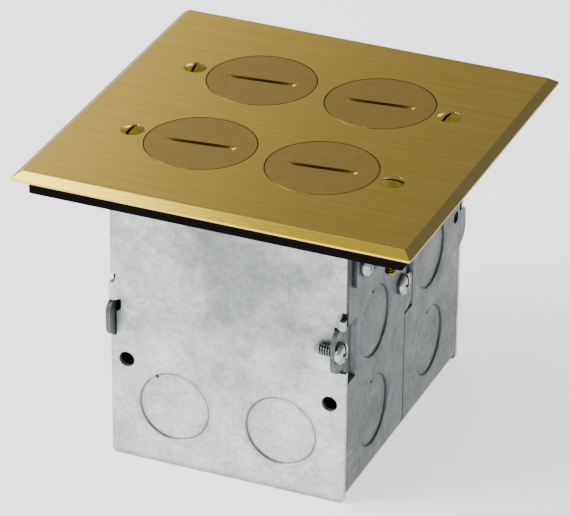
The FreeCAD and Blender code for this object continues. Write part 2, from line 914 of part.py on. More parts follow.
def ground_contact():
    """Brass strip under the strap with a round socket below each grounding hole."""
    low = ear_top - ground_strip_sheet
    start = outlets()[0] - ground_shift
    end = outlets()[1] - ground_shift
    outer = ground_radius + ground_tube_wall
    wide = ground_strip_width / 2
    body = block(start, end, -wide, wide, low, ear_top)
    cuts = [rod(V(0, 0, low), UP, strap_slot_radius, ground_strip_sheet)]
    for x in (start, end):
        base = V(x, 0, ear_top - ground_tube_length)
        body = body.fuse(rod(base, UP, outer, ground_tube_length))
        cuts.append(rod(base, UP, ground_radius, ground_tube_length))
    return body.cut(cuts).removeSplitter()


def receptacle_base():
    """Moulded base with a pocket for each contact and a window at each terminal."""
    top = ear_top
    low = top - base_depth
    half = base_length / 2
    wide = base_width / 2
    body = slab(rectangle(-half, half, -wide, wide, moulding_corner), on_xy(low), V(0, 0, base_depth))
    cuts = []
    floor = top - contact_depth_below - contact_height - pocket_clear
    inside = blade_offset - contact_leaf_gap / 2 - contact_sheet - pocket_clear
    outside = rail_reach + pocket_clear / 4
    rail_half = rail_length / 2 + pocket_clear
    rail_in = rail_reach - contact_sheet - pocket_clear
    for side in (-1, 1):
        cuts.append(block(-rail_half, rail_half, side * rail_in, side * outside, floor, top))
        for x in outlets():
            start = x + blade_shift - contact_length / 2
            end = x + blade_shift + contact_length / 2
            cuts.append(block(start, end, side * inside, side * outside, floor, top))
        for x in (-terminal_offset, terminal_offset):
            reach = terminal_window / 2
            middle = top - terminal_drop
            outer = side * (wide + pocket_clear)
            low_z = middle - reach
            high_z = middle + reach
            cuts.append(block(x - reach, x + reach, side * rail_in, outer, low_z, high_z))
            start = V(x, side * rail_in, middle)
            cuts.append(rod(start, V(0, -side, 0), terminal_radius + pocket_clear, terminal_depth))
    tab_hole = V(-tab_offset, -wide, top - tab_screw_drop)
    cuts.append(rod(tab_hole, V(0, 1, 0), terminal_radius + pocket_clear, tab_screw_depth + fit_gap))
    start = outlets()[0] - ground_shift
    end = outlets()[1] - ground_shift
    strip = ground_strip_width / 2 + pocket_clear
    cuts.append(block(start, end, -strip, strip, top - ground_strip_sheet - pocket_clear, top))
    tube = ground_radius + ground_tube_wall + pocket_clear
    for x in (start, end):
        base = V(x, 0, top - ground_tube_length - pocket_clear)
        cuts.append(rod(base, UP, tube, ground_tube_length + pocket_clear))
    for y in (-rivet_offset, rivet_offset):
        cuts.append(rod(V(0, y, low), UP, rivet_radius + fit_gap / 2, base_depth))
    return body.cut(cuts).removeSplitter()


def terminal_screws(side):
    """The two binding screws on one side of a receptacle."""
    screws = []
    for x in (-terminal_offset, terminal_offset):
        start = V(x, side * rail_reach, ear_top - terminal_drop)
        screws.append(
            pan_screw(
                start,
                V(0, -side, 0),
                terminal_radius,
                contact_sheet + terminal_depth - pocket_clear,
                terminal_head_radius,
                terminal_head_height,
                pocket_clear,
            )
        )
    return Part.makeCompound(screws)


def rivets():
    """Two rivets that hold face, strap and base together, with a head at each end."""
    top = strap_top + face_flange
    low = ear_top - base_depth
    pieces = []
    for y in (-rivet_offset, rivet_offset):
        under = V(0, y, low - rivet_head_height)
        over = V(0, y, top)
        shank = rod(under, UP, rivet_radius, top - low + 2 * rivet_head_height)
        heads = [
            Part.makeCone(rivet_head_radius, rivet_radius, rivet_head_height, over, UP),
            Part.makeCone(rivet_radius, rivet_head_radius, rivet_head_height, under, UP),
        ]
        pieces.append(shank.fuse(heads).removeSplitter())
    return Part.makeCompound(pieces)


def grounding_terminal():
    """Grounding screw through the tab that hangs down beside the base."""
    start = V(-tab_offset, -tab_outside(), ear_top - tab_screw_drop)
    length = strap_sheet + tab_screw_depth
    return pan_screw(
        start,
        V(0, 1, 0),
        terminal_radius,
        length,
        terminal_head_radius,
        terminal_head_height,
        pocket_clear,
    )


# ---- Write every node ---------------------------------------------------------------


def write(name, shape):
    if not shape.isValid():
        print("not valid:", name)
    shape.exportStep("parts/" + name + ".step")


def main():
    os.makedirs("parts", exist_ok=True)
    write("box_section_front", moved(box_section(False), y=-half_gang))
    write("box_section_back", moved(box_section(True), y=half_gang))
    plate = moved(side_plate(), y=-half_gang)
    write("side_plate_front", plate)
    write("side_plate_back", half_turn(plate))

    plate_screw = pan_screw(
        V(lug_face, -gang_pitch - lug_screw_inset, lock_screw_height),
        V(-1, 0, 0),
        lock_radius,
        lock_length,
        lock_head_radius,
        lock_head_height,
        lock_point,
    )
    write("side_plate_screws", Part.makeCompound([plate_screw, half_turn(plate_screw)]))
    gang_screw = moved(plate_screw, x=half_length - lug_face, y=gang_pitch)
    write("gang_screws", Part.makeCompound([gang_screw, half_turn(gang_screw)]))

    bracket = ear_bracket()
    seat = half_length + bracket_gap + bracket_sheet + fit_gap
    for gang, along in GANGS.items():
        for end, side in ENDS.items():
            shape = bracket if side > 0 else mirrored(bracket)
            write("ear_bracket_" + gang + "_" + end, moved(shape, y=along * half_gang))
    screws = []
    for along in GANGS.values():
        for side in ENDS.values():
            for offset in (-bracket_slot_offset, bracket_slot_offset):
                start = V(side * seat, along * half_gang + offset, bracket_screw_height)
                screws.append(
                    pan_screw(
                        start,
                        V(-side, 0, 0),
                        bracket_screw_radius,
                        bracket_screw_length,
                        bracket_head_radius,
                        bracket_head_height,
                        blunt_point,
                    )
                )
    write("bracket_screws", Part.makeCompound(screws))

    earth = pan_screw(
        V(0, half_gang, sheet),
        V(0, 0, -1),
        earth_screw_radius,
        sheet,
        earth_head_radius,
        earth_head_height,
        blunt_point,
    )
    write("grounding_screw", earth)

    write("cover_plate", cover_plate())
    write("cover_gasket", cover_gasket())
    screws = []
    for (end, along), angle in cover_slot_angles.items():
        screws.append(cover_screw(end * screw_x, along * half_gang, angle))
    write("cover_screws", Part.makeCompound(screws))
    for gang, along in GANGS.items():
        for end, side in ENDS.items():
            x = side * outlet_pitch / 2
            y = along * half_gang
            write("plug_" + gang + "_" + end, screw_plug(x, y))
            write("plug_seal_" + gang + "_" + end, plug_seal(x, y))

    strip = contact_strip()
    pieces = {
        "receptacle_face": receptacle_face(),
        "receptacle_base": receptacle_base(),
        "mounting_strap": mounting_strap(),
        "hot_contacts": strip,
        "neutral_contacts": strip.mirror(V(0, 0, 0), V(0, 1, 0)),
        "ground_contacts": ground_contact(),
        "hot_terminal_screws": terminal_screws(1),
        "neutral_terminal_screws": terminal_screws(-1),
        "grounding_terminal_screw": grounding_terminal(),
        "receptacle_rivets": rivets(),
    }
    for gang, along in GANGS.items():
        for name, shape in pieces.items():
            write(name + "_" + gang, moved(shape, y=along * half_gang))


main()
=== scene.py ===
# %% [markdown]
# # A brass floor socket box
# Two galvanised steel gang sections stand side by side under a bevelled brass cover plate.
# Four threaded brass plugs close the outlets. The steelwork, the moulded receptacles and the
# plate come from the CAD frame at their real size. This file gives every surface its finish,
# and remakes the small turned parts, whose threads and broken edges the CAD leaves plain.

# %% Load the frame
from math import cos, pi, radians, sin, tau

import bmesh
import bpy
import numpy as np
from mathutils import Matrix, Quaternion, Vector


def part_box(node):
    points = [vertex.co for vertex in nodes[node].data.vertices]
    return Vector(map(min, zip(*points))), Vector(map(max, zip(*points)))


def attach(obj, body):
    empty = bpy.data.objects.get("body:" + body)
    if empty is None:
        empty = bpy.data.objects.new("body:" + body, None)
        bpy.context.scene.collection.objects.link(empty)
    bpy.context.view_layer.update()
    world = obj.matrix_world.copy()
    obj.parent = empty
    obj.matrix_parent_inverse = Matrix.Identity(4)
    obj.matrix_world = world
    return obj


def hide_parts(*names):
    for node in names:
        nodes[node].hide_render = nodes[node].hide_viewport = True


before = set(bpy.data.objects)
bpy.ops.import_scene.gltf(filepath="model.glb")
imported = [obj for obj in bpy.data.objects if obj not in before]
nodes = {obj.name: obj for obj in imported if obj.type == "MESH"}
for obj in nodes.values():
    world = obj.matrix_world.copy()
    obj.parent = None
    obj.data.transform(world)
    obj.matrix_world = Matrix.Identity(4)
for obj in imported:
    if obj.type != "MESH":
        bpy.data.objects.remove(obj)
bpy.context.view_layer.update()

# %% [markdown]
# ## Where things are
# Every length below is in metres. The places of the plugs and screws are read off the boxes
# of their CAD nodes, so a new piece always lands on the solid that it stands for.

# %% Units, gangs and ends
MM = 0.001
GANGS = {"front": -1, "back": 1}
ENDS = {"left": -1, "right": 1}
COVER_LOW, COVER_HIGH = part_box("cover_plate")
RIVET_LOW, RIVET_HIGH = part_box("receptacle_rivets_back")
GANG_MIDDLE = (RIVET_LOW.y + RIVET_HIGH.y) / 2
print("middle of the back gang:", round(GANG_MIDDLE / MM, 2), "mm")


def points_of(node):
    """All vertices of a CAD node as an array of rows."""
    mesh = nodes[node].data
    flat = np.empty(len(mesh.vertices) * 3)
    mesh.vertices.foreach_get("co", flat)
    return flat.reshape(-1, 3)


def copies_in(node, *signs):
    """Boxes of the copies that one node holds: each sign array halves the points."""
    points = points_of(node)
    label = sum((sign(points) > 0).astype(int) << bit for bit, sign in enumerate(signs))
    return [(points[label == k].min(0), points[label == k].max(0)) for k in np.unique(label)]


# %% [markdown]
# ## Writing a finish
# A finish is a small tree of shader nodes, and short helpers keep it readable. finish starts
# a material and sets the shader's own sockets, and put adds a node with its wires. grain can
# stretch object coordinates, which is how a round grain becomes a brushed line. The others
# do arithmetic on wires, mix colours and join the result to the shader.

# %% Shader helpers
def finish(name, **sockets):
    """New material; each keyword sets a socket of its Principled shader."""
    material = bpy.data.materials.new(name)
    material.use_nodes = True
    tree = material.node_tree
    shader = tree.nodes["Principled BSDF"]
    for socket, value in sockets.items():
        shader.inputs[socket.replace("_", " ")].default_value = value
    return material, tree, shader


def put(tree, kind, wires=(), **settings):
    """Adds a shader node; wires maps inputs to values or to other nodes' outputs."""
    made = tree.nodes.new("ShaderNode" + kind)
    for name, value in settings.items():
        setattr(made, name, value)
    for socket, value in dict(wires).items():
        if isinstance(value, bpy.types.NodeSocket):
            tree.links.new(value, made.inputs[socket])
        else:
            made.inputs[socket].default_value = value
    return made.outputs


def maths(tree, operation, first, second=0.0):
    """One step of arithmetic on a wire, or on two."""
    return put(tree, "Math", {0: first, 1: second}, operation=operation)[0]


def size_of(tree, wire):
    """The wire without its sign."""
    return maths(tree, "ABSOLUTE", wire)


def distance(tree, across, up):
    """Length of the vector (across, up), sqrt(across^2 + up^2)."""
    square = maths(tree, "ADD", maths(tree, "POWER", across, 2.0), maths(tree, "POWER", up, 2.0))
    return maths(tree, "SQRT", square)


def weighted(tree, *shares):
    """Sum of several (wire, weight) pairs, each wire times its weight."""
    parts = [maths(tree, "MULTIPLY", wire, weight) for wire, weight in shares]
    total = parts[0]
    for part in parts[1:]:
        total = maths(tree, "ADD", total, part)
    return total


def place(tree):
    """Object coordinates, in metres from the origin of the frame."""
    return put(tree, "TexCoord")["Object"]


def axes(tree):
    """The three object coordinates as separate wires."""
    return put(tree, "SeparateXYZ", {0: place(tree)})


def grain(tree, scale, detail=2.0, roughness=0.5, shift=0.0):
    """Noise over object coordinates, scale features to a metre along each axis."""
    scale = scale if hasattr(scale, "__len__") else (scale,) * 3
    moves = {"Vector": place(tree), "Scale": scale, "Location": (shift,) * 3}
    where = put(tree, "Mapping", moves)[0]
    wires = {"Vector": where, "Scale": 1.0, "Detail": detail, "Roughness": roughness}
    return put(tree, "TexNoise", wires)["Fac"]


def spread(tree, value, low, high, first, last):
    """Carries value from low..high to first..last, and holds it there outside."""
    wires = {"Value": value, "From Min": low, "From Max": high, "To Min": first, "To Max": last}
    return put(tree, "MapRange", wires)[0]


MIX_FACTOR, MIX_FIRST, MIX_SECOND = 0, 6, 7  # the Mix node's sockets for colours
MIX_RESULT = 2


def blend(tree, factor, first, second):
    """Mixes two colours, of which each may be a value or a wire; factor is a wire."""
    def colour(value):
        return value if isinstance(value, bpy.types.NodeSocket) else (*value, 1.0)

    wires = {MIX_FACTOR: factor, MIX_FIRST: colour(first), MIX_SECOND: colour(second)}
    return put(tree, "Mix", wires, data_type="RGBA")[MIX_RESULT]


def relief(tree, shader, height, depth, normal=None):
    """Bumps the shader's normal; depth is the metres that one unit of height stands for."""
    wires = {"Height": height, "Distance": depth, "Strength": 1.0}
    if normal is not None:
        wires["Normal"] = normal
    bump = put(tree, "Bump", wires)["Normal"]
    tree.links.new(bump, shader.inputs["Normal"])
    return bump


def join(tree, output, shader, socket):
    """Wires a result into one of the shader's sockets."""
    tree.links.new(output, shader.inputs[socket])


def creased(tree, tone, reach, dark, depth):
    """Darkens a colour where walls close in within reach: painted shade in creases."""
    open_share = put(tree, "AmbientOcclusion", {"Distance": reach}, samples=8)["AO"]
    return blend(tree, spread(tree, open_share, 0.25, 0.90, depth, 0.0), tone, dark)


def dress(name, material):
    """Gives a CAD node one material in every slot."""
    mesh = nodes[name].data
    if not mesh.materials:
        mesh.materials.append(material)
    for index in range(len(mesh.materials)):
        mesh.materials[index] = material


# %% [markdown]
# ## Brushed brass
# The plate is rubbed with abrasive along X. Each scratch is a long thin groove, so noise is
# squeezed to hairs across the grain and drawn out along it. Light then spreads across the
# grain much more than along it, which anisotropy gives. The bevels are cut after brushing
# and are smoother, so a mask made from the distance to the plate's edge lowers the grain
# there. The two bevels along the grain get a bright colour as a painted highlight, and the
# two across it a dull one as painted shade.

# %% Cover plate brass
BRASS_LIGHT = (0.575, 0.393, 0.086)
BRASS_DARK = (0.435, 0.288, 0.055)
# bevel colours: a painted highlight on the two long bevels, painted shade on the two end ones
BEVEL_LONG_HIGHLIGHT = (0.93, 0.65, 0.066)
BEVEL_END_SHADE = (0.34, 0.255, 0.080)
BRASS_TARNISH = (0.40, 0.27, 0.06)
BEVEL_INSET = 2.6 * MM
BEVEL_POLISH = 0.74  # roughness of a bevel, as a share of the flat's
BEVEL_GRAIN = 0.4  # height of a bevel's scratches, as a share of the flat's
SCRATCH_HEIGHT = 0.012 * MM


def plate_brass():
    """Brushed on the flat, smoother on the bevels, with a little tarnish in clouds; painted
    highlight on the long bevels, painted shade on the end ones.
    """
    material, tree, shader = finish("brushed_brass", Metallic=1.0, Anisotropic=1.0)
    hairs = grain(tree, (45.0, 3800.0, 3800.0), 3.0, 0.6)
    bands = grain(tree, (9.0, 700.0, 700.0), 2.0, 0.5, 4.0)
    clouds = grain(tree, 22.0, 2.0, 0.5, 9.0)
    streaks = weighted(tree, (hairs, 0.6), (bands, 0.4))
    x, y, _ = axes(tree)
    off_x, off_y = size_of(tree, x), size_of(tree, y)
    edge = maths(tree, "MAXIMUM", off_x, off_y)
    flat = maths(tree, "LESS_THAN", edge, COVER_HIGH.x - BEVEL_INSET)
    tone = blend(tree, spread(tree, streaks, 0.36, 0.64, 0.0, 1.0), BRASS_DARK, BRASS_LIGHT)
    tone = blend(tree, spread(tree, clouds, 0.35, 0.65, 0.0, 0.12), tone, BRASS_TARNISH)
    # Painted highlight on the long bevels, painted shade on the end bevels.
    ends = maths(tree, "GREATER_THAN", off_x, off_y)
    bevel = blend(tree, ends, BEVEL_LONG_HIGHLIGHT, BEVEL_END_SHADE)
    join(tree, blend(tree, flat, bevel, tone), shader, "Base Color")
    rough = spread(tree, streaks, 0.3, 0.7, 0.42, 0.33)
    rough = maths(tree, "MULTIPLY", rough, spread(tree, flat, 0.0, 1.0, BEVEL_POLISH, 1.0))
    join(tree, rough, shader, "Roughness")
    height = maths(tree, "MULTIPLY", hairs, spread(tree, flat, 0.0, 1.0, BEVEL_GRAIN, 1.0))
    relief(tree, shader, height, SCRATCH_HEIGHT)
    across = put(tree, "VectorTransform", {0: (0.0, 1.0, 0.0)}, vector_type="VECTOR",
                 convert_from="OBJECT", convert_to="WORLD")[0]
    join(tree, across, shader, "Tangent")
    return material


dress("cover_plate", plate_brass())
print("cover plate:", [round(v / MM, 1) for v in COVER_HIGH - COVER_LOW], "mm")

# %% [markdown]
# ## Galvanised sheet
# Zinc freezes on steel in flat crystals, called spangle. Rolled small-spangle sheet shows
# them as a faint cloudy mottle, with fine dark specks and a few rubbed streaks on top. The
# folded sections get a far darker zinc than the flat plates, as painted shade. The sheared
# knockouts, the pressed pockets and the tongues are all in the solids. What the finish adds
# is painted shade: a broad dark patch high up under the cover, and dark lines along each
# knockout's shear, at the seams, on the upper cut edges and in creases.

# %% Zinc colours and places
PALE_ZINC = (0.66, 0.72, 0.685)
DULL_ZINC = (0.40, 0.44, 0.42)
# painted shade: the folded sections and the ear brackets get a far darker zinc than the plates
SHADED_WALL_PALE = (0.136, 0.149, 0.155)
SHADED_WALL_DULL = (0.070, 0.079, 0.084)
SPECK_TONE = (0.16, 0.17, 0.17)
RUBBED_TONE = (0.85, 0.86, 0.87)
# dark tone of the painted shade on the zinc
ZINC_SHADE = (0.030, 0.031, 0.030)
# reach and darkness of the painted shade in creases
CREASE_REACH = 3.4 * MM
CREASE_DEPTH = 0.85
# size, darkness and height of a broad patch of painted shade under the cover
PATCH_RADIUS = 42.0 * MM
PATCH_DEPTH = 0.62
PATCH_HEIGHT = 74.0 * MM
# darkness of the painted shade in the seams
SEAM_DEPTH = 0.75
# darkness and lowest height of the painted shadow on the plates' upper cut edges
CUT_DEPTH = 0.96
CUT_SHADOW_FROM = 62.0 * MM
KNOCKOUT_RADIUS = 11.1 * MM
KNOCKOUT_LOW = 20.2 * MM
KNOCKOUT_RISE = 30.7 * MM
KNOCKOUT_HALF_PITCH = 17.3 * MM
KNOCKOUT_SHIFT = 1.8 * MM
PLATE_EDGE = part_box("side_plate_back")[1].x
PLATE_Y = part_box("side_plate_back")[1].y
WALL_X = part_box("ear_bracket_back_right")[0].x
WALL_END = 2 * GANG_MIDDLE
print("walls end at", round(WALL_END / MM, 2), "mm, plates at", round(PLATE_Y / MM, 2), "mm")

# %% [markdown]
# Four short fields say where each kind of sheet is marked. Two measure the distance d from
# the ring of the nearest knockout, d = sqrt(across^2 + up^2) - radius. Absolute values fold
# the sheet onto itself, so one circle serves every knockout of its pattern. The other two
# give the share of painted shade, from 0 to 1, at seams and on upper cut edges.

# %% Fields over the sheets
def ring_distance(tree, across, up):
    """Distance outwards from a knockout's ring; below zero on the slug."""
    return maths(tree, "SUBTRACT", distance(tree, across, up), KNOCKOUT_RADIUS)


def plate_rings(tree, x, y, z):
    """Distance from the two knockouts of a side plate."""
    across = maths(tree, "SUBTRACT", size_of(tree, x), KNOCKOUT_HALF_PITCH)
    return ring_distance(tree, across, maths(tree, "SUBTRACT", z, KNOCKOUT_LOW))


def section_rings(side):
    """The two rows on each end wall; left and right walls shift their rows oppositely."""
    def field(tree, x, y, z):
        turn = maths(tree, "SIGN", x)
        shifted = maths(tree, "ADD", y, maths(tree, "MULTIPLY", turn, KNOCKOUT_SHIFT))
        across = maths(tree, "SUBTRACT", shifted, side * GANG_MIDDLE)
        middle = KNOCKOUT_LOW + KNOCKOUT_RISE / 2
        up = size_of(tree, maths(tree, "SUBTRACT", z, middle))
        return ring_distance(tree, across, maths(tree, "SUBTRACT", up, KNOCKOUT_RISE / 2))
    return field


def seam_shade(tree, x, y, z):
    """Painted shade where the two sections meet and where each one meets its plate."""
    off_middle = size_of(tree, y)
    off_end = size_of(tree, maths(tree, "SUBTRACT", off_middle, WALL_END))
    nearest = maths(tree, "MINIMUM", off_middle, off_end)
    return spread(tree, nearest, 0.3 * MM, 0.8 * MM, SEAM_DEPTH, 0.0)


def cut_edge_shadow(tree, x, y, z):
    """Painted shadow on the sheared side edges of a plate, high up under the cover."""
    low, high = PLATE_EDGE - 0.25 * MM, PLATE_EDGE - 0.05 * MM
    on_cut = spread(tree, size_of(tree, x), low, high, 0.0, CUT_DEPTH)
    raised = spread(tree, z, CUT_SHADOW_FROM, CUT_SHADOW_FROM + 3 * MM, 0.0, 1.0)
    return maths(tree, "MULTIPLY", on_cut, raised)


print("knockouts:", round(2 * KNOCKOUT_RADIUS / MM, 1), "mm across")

# %% [markdown]
# The finish lays these over one another. Clouds, a fine mottle and spangle mix into one
# number, which runs the colour from dull to pale and the roughness from rough to smooth.
# Specks and rubs then each blend in their own tone, and painted shade darkens the result
# under the cover, along the knockout rings, at seams, on cut edges and in creases.

# %% Galvanised sheet
def shade_patch_share(tree, clouds, patch):
    """Share of a broad patch of painted shade about the point patch, its edge ragged by the
    clouds.
    """
    wires = {0: place(tree), 1: patch}
    away = put(tree, "VectorMath", wires, operation="DISTANCE")["Value"]
    ragged = maths(tree, "MULTIPLY", maths(tree, "SUBTRACT", clouds, 0.5), PATCH_RADIUS)
    away = maths(tree, "ADD", away, ragged)
    return spread(tree, away, 0.2 * PATCH_RADIUS, PATCH_RADIUS, PATCH_DEPTH, 0.0)


def galvanised(name, pale, dull, shift, patch=None, rings=None, shade_field=None):
    """Zinc finish. patch is the middle of a broad patch of painted shade, rings the field of
    distance from the knockouts, where shade is painted along the shear, and the last a field
    of painted shade; a sheet that has none of one leaves it out."""
    material, tree, shader = finish(name, Metallic=0.82)
    clouds = grain(tree, 95.0, 3.0, 0.55, shift)
    fine = grain(tree, 620.0, 3.0, 0.6, shift + 3.0)
    specks = grain(tree, 1300.0, 2.0, 0.55, shift + 7.0)
    rubbed = grain(tree, (35.0, 35.0, 1400.0), 2.0, 0.5, shift + 11.0)
    spangle = put(tree, "TexVoronoi", {"Vector": place(tree), "Scale": 260.0})["Color"]
    spangle = put(tree, "SeparateXYZ", {0: spangle})[0]
    mottle = weighted(tree, (clouds, 0.46), (fine, 0.46), (spangle, 0.08))
    tone = blend(tree, spread(tree, mottle, 0.34, 0.64, 0.0, 1.0), dull, pale)
    tone = blend(tree, spread(tree, specks, 0.58, 0.72, 0.0, 0.60), tone, SPECK_TONE)
    tone = blend(tree, spread(tree, rubbed, 0.66, 0.80, 0.0, 0.30), tone, RUBBED_TONE)
    # Painted shade: a broad dark patch high up, under the cover.
    if patch:
        tone = blend(tree, shade_patch_share(tree, clouds, patch), tone, tuple(0.25 * c for c in dull))
    bumps = relief(tree, shader, fine, 0.02 * MM)
    # Painted shade: a dark band within 2.2 mm of each knockout's ring, and a darker line along
    # its shear.
    if rings:
        ring = rings(tree, *axes(tree))
        near = size_of(tree, ring)
        tone = blend(tree, spread(tree, near, 0.0, 2.2 * MM, 0.22, 0.0), tone, ZINC_SHADE)
        line = spread(tree, near, 0.12 * MM, 0.50 * MM, 0.45, 0.0)
        tone = blend(tree, line, tone, ZINC_SHADE)
        swell = spread(tree, ring, 0.2 * MM, 2.4 * MM, 0.0, 1.0)
        relief(tree, shader, swell, 0.16 * MM, bumps)
    # Painted shade from the sheet's own field: seams on a section, upper cut edges on a plate.
    if shade_field:
        tone = blend(tree, shade_field(tree, *axes(tree)), tone, ZINC_SHADE)
    # Painted shade in creases.
    tone = creased(tree, tone, CREASE_REACH, ZINC_SHADE, CREASE_DEPTH)
    join(tree, tone, shader, "Base Color")
    join(tree, spread(tree, mottle, 0.3, 0.7, 0.52, 0.38), shader, "Roughness")
    return material


for gang, side in GANGS.items():
    plate_patch = (-side * 4.0 * MM, side * PLATE_Y, PATCH_HEIGHT)
    plate_zinc = galvanised("galvanised_plate_" + gang, PALE_ZINC, DULL_ZINC, side,
                            plate_patch, plate_rings, cut_edge_shadow)
    dress("side_plate_" + gang, plate_zinc)
    wall_patch = (side * WALL_X, side * 30.0 * MM, PATCH_HEIGHT)
    wall_zinc = galvanised("galvanised_section_" + gang, SHADED_WALL_PALE, SHADED_WALL_DULL, 2.0 + side,
                           wall_patch, section_rings(side), seam_shade)
    dress("box_section_" + gang, wall_zinc)
bracket_zinc = galvanised("galvanised_bracket", SHADED_WALL_PALE, SHADED_WALL_DULL, 21.0)
for gang in GANGS:
    for end in ENDS:
        dress("ear_bracket_" + gang + "_" + end, bracket_zinc)
print("galvanised nodes dressed:", 2 * len(GANGS) + len(GANGS) * len(ENDS))

# %% [markdown]
# ## Gasket, seals and mouldings
# The gasket is closed-cell foam: cut edges show tiny pores. The seals are smooth nitrile.
# The receptacles inside are moulded, brown for the face and near black for the base.

# %% Rubber and plastic
PORE_DARK = (0.003, 0.0028, 0.003)
PORE_LIGHT = (0.010, 0.0095, 0.010)
SEAL_TONE = (0.012, 0.012, 0.013)
FACE_TONE = (0.085, 0.035, 0.018)
BASE_TONE = (0.020, 0.016, 0.014)


def foam():
    """Nearly black foam with open pores."""
    material, tree, shader = finish("gasket_foam", Roughness=0.95, Specular_IOR_Level=0.02)
    pores = grain(tree, 2600.0, 2.0, 0.6)
    tone = blend(tree, spread(tree, pores, 0.45, 0.7, 0.0, 1.0), PORE_DARK, PORE_LIGHT)
    join(tree, tone, shader, "Base Color")
    relief(tree, shader, pores, 0.12 * MM)
    return material


def moulded(name, colour, rough, shift):
    """Plastic or rubber: an even colour with a fine mould texture and slight mottle."""
    material, tree, shader = finish(name)
    mottle = grain(tree, 300.0, 2.0, 0.5, shift)
    darker = tuple(0.8 * c for c in colour)
    tone = blend(tree, spread(tree, mottle, 0.3, 0.7, 0.0, 1.0), darker, colour)
    join(tree, tone, shader, "Base Color")
    join(tree, spread(tree, mottle, 0.3, 0.7, rough, rough + 0.08), shader, "Roughness")
    relief(tree, shader, grain(tree, 4200.0, 1.0, 0.5, shift), 0.01 * MM)
    return material


dress("cover_gasket", foam())
seal_rubber = moulded("seal_rubber", SEAL_TONE, 0.55, 1.0)
face_plastic = moulded("face_plastic", FACE_TONE, 0.32, 2.0)
base_plastic = moulded("base_plastic", BASE_TONE, 0.5, 3.0)
for gang in GANGS:
    dress("receptacle_face_" + gang, face_plastic)
    dress("receptacle_base_" + gang, base_plastic)
    for end in ENDS:
        dress("plug_seal_" + gang + "_" + end, seal_rubber)
print("mouldings dressed")

# %% [markdown]
# ## Plated and turned metal
# Screws come off the machine bright. A faint high-frequency grain in the roughness keeps
# their highlights from looking like glass. Slots and thread roots get painted shade: each
# piece carries its share as a number from 0 to 1 at every vertex. Below 0 the number
# paints a highlight instead, on metal that coins and drivers also rub clean and bright,
# and the lowest value is the brightest.

# %% Small metal parts
# dark tone of the painted shade in slots and thread roots
RECESS_SHADE = (0.020, 0.014, 0.008)
RECESS_SHADE_SHARE = 0.92
# lowest painted shading value, where the slot ends carry the brightest painted highlight
BRIGHT_END = 0.5
PLUG_DARK = (0.325, 0.205, 0.028)
PLUG_LIGHT = (0.42, 0.268, 0.042)
# painted highlight, with real wear, at the shallow ends of a coin slot
PLUG_WORN_HIGHLIGHT = (0.74, 0.55, 0.10)
RUBBED_POLISH = 0.4  # roughness of rubbed metal, as a share of the rest
RING_SCALE = 5200.0


def shading_of(tree):
    """The piece's own painted shading number as a wire."""
    return put(tree, "Attribute", attribute_name="painted_shading")["Fac"]


def recess_shaded(tree, tone):
    """Darkens a colour by the piece's painted shading, painted shade that is 1 deep in a slot or
    a thread.
    """
    return blend(tree, spread(tree, shading_of(tree), 0.0, 1.0, 0.0, RECESS_SHADE_SHARE), tone, RECESS_SHADE)


def bright(name, pale, dark, rough, shift):
    """Machined metal between two tarnish tones, its roughness from rough upwards."""
    material, tree, shader = finish(name, Metallic=1.0)
    tarnish = grain(tree, 420.0, 3.0, 0.6, shift)
    polish = grain(tree, 2600.0, 2.0, 0.6, shift + 5.0)
    tone = blend(tree, spread(tree, tarnish, 0.38, 0.66, 0.0, 1.0), dark, pale)
    join(tree, recess_shaded(tree, tone), shader, "Base Color")
    join(tree, spread(tree, polish, 0.3, 0.7, rough, rough + 0.12), shader, "Roughness")
    relief(tree, shader, polish, 0.006 * MM)
    return material


zinc = bright("zinc_screw", (0.52, 0.53, 0.54), (0.30, 0.31, 0.32), 0.24, 1.0)
green = bright("green_screw", (0.05, 0.34, 0.12), (0.02, 0.20, 0.06), 0.30, 2.0)
screw_brass = bright("screw_brass", (0.50, 0.365, 0.040), (0.33, 0.225, 0.020), 0.22, 3.0)
contact_brass = bright("contact_brass", (0.66, 0.48, 0.20), (0.52, 0.36, 0.14), 0.30, 4.0)
strap_steel = bright("strap_steel", (0.66, 0.67, 0.68), (0.52, 0.53, 0.55), 0.30, 5.0)
INNER_METAL = {
    "mounting_strap_": strap_steel,
    "hot_contacts_": contact_brass,
    "neutral_contacts_": contact_brass,
    "ground_contacts_": contact_brass,
    "receptacle_rivets_": contact_brass,
    "hot_terminal_screws_": screw_brass,
    "neutral_terminal_screws_": zinc,
    "grounding_terminal_screw_": green,
}
for stem, material in INNER_METAL.items():
    for gang in GANGS:
        dress(stem + gang, material)
dress("grounding_screw", green)
print("inner metal dressed:", 2 * len(INNER_METAL) + 1)


